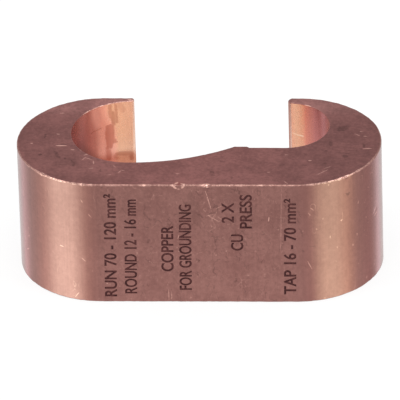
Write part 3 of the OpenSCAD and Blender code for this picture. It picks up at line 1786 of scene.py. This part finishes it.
@dataclass(frozen=True)
class Softbox:
    """Square lamp that looks at the part, unseen by the camera.

    Its distance from the part and its side are in metres.
    """

    name: str
    bearing: float
    rise: float
    far: float
    side: float
    glow: float

    def build(self, target: Vector) -> bpy.types.Object:
        """Hangs the lamp at far from the target.

        A flat lamp of side a and glow L gives out pi a^2 L.

        Args:
            target: What the lamp looks at.

        Returns:
            The lamp's object.
        """
        back = direction(self.bearing, self.rise)
        lamp = bpy.data.lights.new(self.name, "AREA")
        lamp.shape, lamp.size = "SQUARE", self.side
        lamp.energy = math.pi * self.side**2 * self.glow
        piece = placed(self.name, lamp)
        piece.location = target + back * self.far
        piece.rotation_euler = (-back).to_track_quat("-Z", "Y").to_euler()
        piece.visible_camera = False
        return piece


@dataclass(frozen=True)
class Glow:
    """Bell of light on a card, by the bearing that the metal mirrors."""

    mid: float
    half: float
    peak: Place
    sharp: float

    def extra(self, bearing: Array) -> Array:
        """(peak - 1) exp(-|(a - mid) / half|^sharp) at each bearing a."""
        bell = np.exp(-(np.abs((bearing - self.mid) / self.half) ** self.sharp))
        return bell[:, None] * (np.array(self.peak) - 1)


@dataclass(frozen=True)
class EndCard:
    """Bright card on the floor round one end, seen only in the metal.

    Each of its lines starts at the wall and runs where that wall mirrors
    the camera's view, so a stretch of wall shows one glow at all heights.
    """

    section: Section
    end: End
    bearing: float
    glows: tuple[Glow, ...]
    gap: float = 0.05
    lift: float = 0.05
    far: float = 70.0
    sweep: float = 86.0
    lines: int = 130

    def build(self) -> bpy.types.Object:
        """Lays the card out as lines hub + r n(t) + d n(2 t - b).

        n(a) is (sin a, -cos a), t runs from 0 through the sweep on the
        card's side and b is the camera's bearing.

        Returns:
            The card's object.
        """
        turn = self.end * np.linspace(0, self.sweep, self.lines)
        mirror = 2 * turn - self.bearing
        wall, ray = (
            np.column_stack([np.sin(a), -np.cos(a)]) for a in np.radians([turn, mirror])
        )
        hub = np.array([self.end * self.section.half_straight, 0.0])
        near = hub + (self.section.end_r + self.gap) * wall
        flat = np.concatenate([near, near + self.far * ray])
        places = np.column_stack([flat, np.full(len(flat), self.lift)]) * MM
        name = f"{self.end.name.lower()}_card"
        n, i = self.lines, np.arange(self.lines - 1)
        data = meshed(name, places, np.column_stack([i, i + n, i + n + 1, i + 1]))
        glow = 1 + sum(g.extra(mirror) for g in self.glows)
        keep(data, "glow", np.tile(np.column_stack([glow, np.ones(n)]), (2, 1)))
        paper = bpy.data.materials.new(name)
        g = Graph.of(paper)
        lit = g.add("ShaderNodeEmission", {"Color": g.kept("glow", "Color"), "Strength": 1.0})
        g.add("ShaderNodeOutputMaterial", {0: lit.outputs[0]})
        data.materials.append(paper)
        piece = placed(name, data)
        piece.visible_camera = piece.visible_diffuse = False
        piece.visible_shadow = piece.visible_transmission = False
        return piece


@dataclass
class Studio:
    """White floor, soft lamps and the cards that brighten the round ends.

    The target and the side of the floor are in metres.
    """

    target: Vector
    lamps: tuple[Softbox, ...]
    cards: tuple[EndCard, ...]
    floor_side: float = 8.0
    floor_glow: float = 0.8
    paper: Colour = (0.9, 0.9, 0.9, 1.0)

    def floor(self) -> bpy.types.Object:
        """Lays the floor, white where it is seen, with the part's shadow.

        Returns:
            The floor's object.
        """
        half = self.floor_side / 2
        corners = [(-half, -half, 0), (half, -half, 0), (half, half, 0), (-half, half, 0)]
        data = meshed("floor", corners, [(0, 1, 2, 3)])
        paper = bpy.data.materials.new("white paper")
        g = Graph.of(paper)
        path = g.add("ShaderNodeLightPath", {}).outputs
        seen = g.most(*(path[kind.value] for kind in Seen))
        matt = g.add("ShaderNodeBsdfDiffuse", {"Color": self.paper}).outputs[0]
        lit = g.add("ShaderNodeEmission", {"Strength": 1.0}).outputs[0]
        share = g.product(seen, self.floor_glow)
        both = g.add("ShaderNodeMixShader", {0: share, 1: matt, 2: lit})
        g.add("ShaderNodeOutputMaterial", {0: both.outputs[0]})
        data.materials.append(paper)
        piece = placed("floor", data)
        return piece

    def sky(self) -> None:
        """Surrounds the part with an even white."""
        world = bpy.data.worlds.new("studio")
        g = Graph.of(world)
        back = g.add("ShaderNodeBackground", {"Color": WHITE, "Strength": 1.0})
        g.add("ShaderNodeOutputWorld", {0: back.outputs[0]})
        bpy.context.scene.world = world

    def build(self) -> None:
        """Sets the studio up."""
        self.floor()
        self.sky()
        for lamp in self.lamps:
            lamp.build(self.target)
        for card in self.cards:
            card.build()


@dataclass(frozen=True)
class PhotoCamera:
    """Camera at the photograph's viewing angle, with a long lens.

    Its clip distances are in metres.
    """

    aim: Place = (-0.101, 0.0, 9.405)
    far: float = 1141.0
    bearing: float = 3.525
    rise: float = 31.158
    roll: float = -1.696
    lens: float = 736.1
    sensor: float = 36.0
    clip: Point = (0.05, 20.0)

    def build(self) -> bpy.types.Object:
        """Makes the camera and gives it to the scene.

        Returns:
            The camera's object.
        """
        back = direction(self.bearing, self.rise)
        a, t = math.radians(self.bearing), math.radians(self.roll)
        level = Vector((math.cos(a), math.sin(a), 0.0))
        upright = back.cross(level)
        right = math.cos(t) * level + math.sin(t) * upright
        up = math.cos(t) * upright - math.sin(t) * level
        data = bpy.data.cameras.new("photo_camera")
        data.lens, data.sensor_width = self.lens, self.sensor
        data.clip_start, data.clip_end = self.clip
        piece = placed("photo_camera", data)
        place = (Vector(self.aim) + back * self.far) * MM
        turn = Matrix((right, up, back)).transposed().to_4x4()
        piece.matrix_world = Matrix.Translation(place) @ turn
        bpy.context.scene.camera = piece
        return piece


# Marks of use, and a painted glint, on the faces that the photograph shows


SPINE_SCRATCHES = (
    Stroke((10.0, 13.1), (10.1, 13.8), 0.11, 0.9),
    Stroke((-19.1, 8.4), (-18.6, 8.3), 0.10, 0.6),
    Stroke((-15.9, 16.5), (-15.6, 15.9), 0.08, 0.5),
    Stroke((-14.9, 14.2), (-14.5, 13.7), 0.08, 0.5),
    Stroke((-16.1, 7.0), (-15.5, 6.5), 0.10, 0.5),
    Stroke((-17.2, 0.4), (-16.6, 1.3), 0.10, 0.5),
    Stroke((-24.1, 4.6), (-23.8, 5.1), 0.12, 0.5),
    Stroke((1.4, 18.0), (2.2, 14.7), 0.08, 0.7),
    Stroke((1.4, 14.3), (3.2, 13.0), 0.08, 0.6),
    Stroke((1.2, 13.9), (2.6, 14.3), 0.08, 0.6),
    Stroke((2.0, 13.2), (2.9, 14.6), 0.08, 0.5),
    Stroke((3.0, 13.9), (4.1, 12.9), 0.08, 0.5),
    Stroke((2.7, 15.1), (3.6, 15.6), 0.08, 0.5),
    Stroke((-4.1, 2.0), (-4.1, 0.3), 0.09, 0.5),
    Stroke((-3.7, 1.8), (-3.7, 0.3), 0.09, 0.5),
    Stroke((11.9, 18.7), (11.6, 8.5), 0.08, 0.3),
    Stroke((24.2, 10.3), (24.7, 11.0), 0.11, 0.6),
    Stroke((24.4, 9.8), (24.8, 10.0), 0.11, 0.6),
    Stroke((15.5, 14.4), (15.9, 13.9), 0.10, 0.5),
    Stroke((15.8, 15.2), (16.3, 14.7), 0.10, 0.5),
    Stroke((15.3, 6.6), (15.9, 5.2), 0.10, 0.5),
    Stroke((-2.6, 10.3), (-2.4, 11.0), 0.08, 0.6),
    Stroke((-3.0, 18.7), (-2.6, 18.4), 0.22, 0.9),
    Stroke((-2.5, 18.3), (-2.0, 18.3), 0.15, 0.6),
    Stroke((-1.9, 18.5), (-1.6, 18.7), 0.24, 0.8),
)
SPINE_SMUDGES = (
    Stroke((-0.7, 17.4), (0.2, 12.8), 1.2, 0.25),
    Stroke((20.5, 16.4), (21.1, 15.6), 0.10, 0.6),
    Stroke((20.5, 15.9), (21.2, 16.1), 0.10, 0.6),
    Stroke((0.1, 14.5), (1.0, 13.8), 0.28, 0.5),
    Stroke((0.0, 7.0), (0.3, 6.5), 0.25, 0.6),
    Stroke((-7.2, 14.5), (-6.4, 13.2), 0.25, 0.45),
    Stroke((-7.0, 6.9), (-6.6, 6.2), 0.18, 0.4),
    Stroke((14.0, 14.9), (14.4, 13.9), 0.15, 0.5),
    Stroke((14.0, 13.6), (14.3, 12.8), 0.15, 0.5),
    Stroke((14.3, 12.0), (14.7, 10.6), 0.18, 0.4),
    Stroke((14.6, 8.6), (14.9, 8.1), 0.16, 0.5),
    Stroke((15.0, 9.1), (16.6, 9.0), 0.10, 0.4),
    Stroke((14.3, 6.6), (15.0, 5.6), 0.12, 0.4),
    Stroke((1.3, 14.2), (2.8, 14.6), 0.12, 0.5),
    Stroke((3.9, 7.6), (4.3, 7.0), 0.18, 0.4),
)
TOP_SCRATCHES_AND_GLINT = (
    Stroke((-19.8, -1.3), (-18.4, -1.3), 0.18, 0.75),
    Stroke((-17.7, -2.4), (-17.2, -2.4), 0.15, 0.6),
    Stroke((-16.4, -2.5), (-16.1, -2.5), 0.13, 0.5),
    Stroke((-15.8, -3.9), (-15.2, -3.5), 0.13, 0.6),
    Stroke((-16.0, -5.2), (-15.5, -4.4), 0.11, 0.5),
    Stroke((-15.6, -4.5), (-14.6, -5.1), 0.11, 0.5),
    Stroke((-14.4, -5.4), (-14.3, -6.2), 0.13, 0.5),
    Stroke((-10.8, -8.7), (-10.4, -7.9), 0.11, 0.5),
    Stroke((-10.4, -7.9), (-9.9, -8.0), 0.11, 0.5),
    Stroke((-11.6, -6.6), (-11.2, -7.1), 0.11, 0.4),
    Stroke((-19.8, 7.5), (-19.2, 7.6), 0.15, 0.4),
    Stroke((-23.4, -0.7), (-23.1, -0.7), 0.17, 0.5),
    Stroke((15.4, -5.2), (15.8, -5.2), 0.16, 0.6),
    Stroke((21.6, 2.1), (22.3, 1.5), 0.11, 0.45),
    Stroke((22.8, -2.0), (24.0, -1.9), 0.13, 0.6),
    Stroke((16.6, -9.1), (18.2, -7.6), 0.09, 0.5),
    Stroke((17.5, -7.4), (18.6, -6.7), 0.09, 0.4),
    Stroke((12.2, -10.7), (12.8, -11.5), 0.10, 0.5),
    Stroke((-2.8, -8.8), (-2.3, -8.8), 0.13, 0.5),
    Stroke((22.8, 1.4), (23.3, 1.4), 0.13, 0.4),
    Stroke((-2.8, -11.5), (-2.4, -11.1), 0.25, 0.7),
    Stroke((-2.1, -11.3), (-1.6, -11.6), 0.20, 0.6),
    # Painted glint on the tap groove's inner top edge
    Stroke((14.4, 9.9), (15.2, 9.5), 0.20, 1.0),
    # Burr at the run jaw's tip, pale partly from wear and partly from a painted highlight
    Stroke((-10.4, 11.3), (-9.8, 11.0), 0.40, 0.8),
)
TOP_SMUDGES = (
    Stroke((-20.5, -2.6), (-17.4, -5.8), 2.4, 0.25),
    Stroke((-20.0, -2.8), (-19.1, -4.7), 0.50, 0.7),
    Stroke((-18.4, -4.7), (-18.2, -4.7), 0.50, 0.9),
    Stroke((-22.0, -3.8), (-21.7, -3.8), 0.50, 0.8),
    Stroke((-17.4, -5.2), (-17.0, -6.8), 0.35, 0.6),
    Stroke((-21.5, 1.8), (-21.4, 0.7), 0.25, 0.6),
    Stroke((-13.3, -7.6), (-13.2, -8.4), 0.25, 0.6),
    Stroke((19.4, 3.0), (20.4, 4.1), 1.00, 0.6),
    Stroke((18.2, -0.1), (18.4, -1.3), 0.40, 0.5),
    Stroke((17.5, -2.7), (17.9, -2.7), 0.50, 0.5),
    Stroke((20.1, -3.9), (20.7, -4.1), 0.60, 0.6),
    Stroke((22.9, -0.5), (23.0, -1.6), 0.25, 0.6),
    Stroke((19.1, -3.1), (21.2, -3.2), 0.15, 0.6),
    Stroke((20.9, -2.4), (22.4, -2.4), 0.15, 0.6),
    Stroke((2.0, -8.0), (2.3, -8.5), 0.40, 0.6),
    Stroke((2.2, -9.2), (2.6, -9.2), 0.25, 0.5),
    Stroke((3.2, -5.3), (3.7, -5.7), 0.40, 0.5),
    Stroke((4.9, -9.4), (5.0, -10.2), 0.25, 0.5),
)
JAW_SCRATCHES = (
    Stroke((12.6, 14.1), (13.2, 13.9), 0.16, 0.7),
    Stroke((13.2, 13.9), (14.0, 13.8), 0.18, 0.8),
)
JAW_SMUDGES = (
    Stroke((-13.0, 18.8), (-12.9, 16.8), 0.40, 0.8),
    Stroke((-12.6, 17.4), (-12.5, 15.6), 0.45, 0.9),
    Stroke((-12.2, 18.6), (-12.1, 15.8), 0.35, 0.8),
    Stroke((-11.7, 18.6), (-11.2, 17.6), 0.60, 0.4),
    Stroke((-13.4, 15.3), (-13.4, 11.9), 0.45, 1.0),
    Stroke((-13.0, 15.4), (-13.0, 11.9), 0.45, 1.0),
    Stroke((-12.7, 15.2), (-12.7, 12.6), 0.40, 1.0),
    Stroke((-12.6, 13.2), (-12.3, 12.6), 0.35, 0.9),
    Stroke((-13.4, 11.3), (-13.3, 10.2), 0.65, 0.8),
    Stroke((-12.1, 10.6), (-10.2, 10.5), 0.55, 0.8),
    Stroke((-12.5, 10.4), (-12.2, 9.9), 0.35, 0.5),
    Stroke((-10.3, 10.5), (-10.2, 9.7), 0.45, 0.8),
    Stroke((-15.5, 15.3), (-14.3, 15.4), 0.20, 0.5),
)
FRONT_BRUISES = (
    Bruise(-21.4, 0.2, 0.08),
    Bruise(-15.6, 0.3, 0.10),
    Bruise(-14.5, 0.2, 0.08),
    Bruise(-7.0, 0.3, 0.09),
    Bruise(-4.6, 0.3, 0.04),
    Bruise(-3.0, 0.2, 0.12),
    Bruise(-1.6, 0.2, 0.12),
    Bruise(1.2, 0.3, 0.12),
    Bruise(1.7, 0.2, 0.18),
    Bruise(3.6, 0.3, 0.04),
    Bruise(5.0, 0.3, 0.05),
    Bruise(6.3, 0.5, 0.05),
    Bruise(9.0, 0.3, 0.07),
    Bruise(21.0, 0.3, 0.12),
    Bruise(22.4, 0.2, 0.08),
)
KNOCKS = (
    Knock((-2.3, -11.8, 19.0), 0.8, 0.2),
    Knock((1.7, -11.8, 19.0), 0.4, 0.05),
    Knock((21.0, -9.2, 18.8), 0.5, 0.1),
    Knock((-18.7, -10.7, 17.8), 1.0, 0.02),
    Knock((-17.5, -11.2, 16.5), 0.9, 0.01),
    Knock((-16.5, -11.5, 14.1), 0.9, 0.01),
    Knock((-16.0, -11.6, 6.8), 0.9, 0.01),
    Knock((20.9, -9.3, 16.0), 0.8, 0.02),
    Knock((16.1, -11.6, 14.5), 0.8, 0.02),
    Knock((24.6, -4.4, 10.5), 0.8, 0.03),
)

# Printed lines and lighting


MARKS = (
    Mark("RUN 70 - 120 mm²", -12.0, 0.9, 16.6),
    Mark("ROUND 12 - 16 mm", -9.2, 1.4, 15.2),
    Mark("COPPER", -4.1, 5.0, 7.4),
    Mark("FOR GROUNDING", -1.6, 2.0, 13.8),
    Mark("2 X", 4.4, 12.9, 3.2),
    Mark("PRESS", 6.9, 12.0, 5.4),
    Mark("CU", 5.6, 8.4, 2.6),
    Mark("TAP 16 - 70 mm²", 12.9, 1.3, 15.5),
)
LAMPS = (
    Softbox("front_softbox", 0.0, 60.0, 1.2, 0.6, 2.2),
    Softbox("left_softbox", -70.0, 45.0, 1.2, 0.5, 4.0),
    Softbox("right_softbox", 70.0, 45.0, 1.2, 0.5, 4.0),
)
GLOWS = {
    End.LEFT: (
        Glow(-52.5, 25, (2.69, 3.26, 3.0), 3.3),
        Glow(-85.5, 15, (1.44, 1.4, 1.33), 1.9),
        Glow(-23, 12.5, (1.13, 1.05, 1.0), 1.6),
        Glow(-133, 10.5, (1.36, 1.18, 1.23), 2.6),
    ),
    End.RIGHT: (
        Glow(43.5, 24.5, (2.08, 2.45, 2.05), 2.7),
        Glow(72, 12, (1.51, 1.47, 1.26), 1.9),
        Glow(20.5, 10.5, (0.7, 0.52, 0.64), 1.7),
        Glow(117, 18.5, (0.85, 0.69, 0.69), 1.6),
        Glow(142, 9, (1.4, 1.3, 1.38), 3.0),
    ),
}


def main() -> None:
    """Builds the part and its studio, and reports each piece."""
    logging.basicConfig(level=logging.INFO, format="%(name)s: %(message)s")
    section = Section.of_frame()
    body = ConnectorBody(section, FRONT_BRUISES, KNOCKS).build(
        {
            Surface.DRAWN: DrawnCopper(section, SPINE_SCRATCHES, SPINE_SMUDGES),
            Surface.GROOVE: GrooveCopper(section, JAW_SCRATCHES, JAW_SMUDGES),
            Surface.SAWN: SawnCopper(section, TOP_SCRATCHES_AND_GLINT, TOP_SMUDGES),
        }
    )
    marks = SizeMarks(-section.end_r, MARKS).build(MarkingInk())
    for piece in (body, marks):
        LOG.info("%s: %d faces", piece.name, len(piece.data.polygons))

    camera = PhotoCamera()
    low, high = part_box(BODY)
    cards = tuple(EndCard(section, end, camera.bearing, GLOWS[end]) for end in End)
    Studio((low + high) / 2, LAMPS, cards).build()
    camera.build()
    bpy.context.scene.view_settings.view_transform = "Standard"


if __name__ == "__main__":
    main()
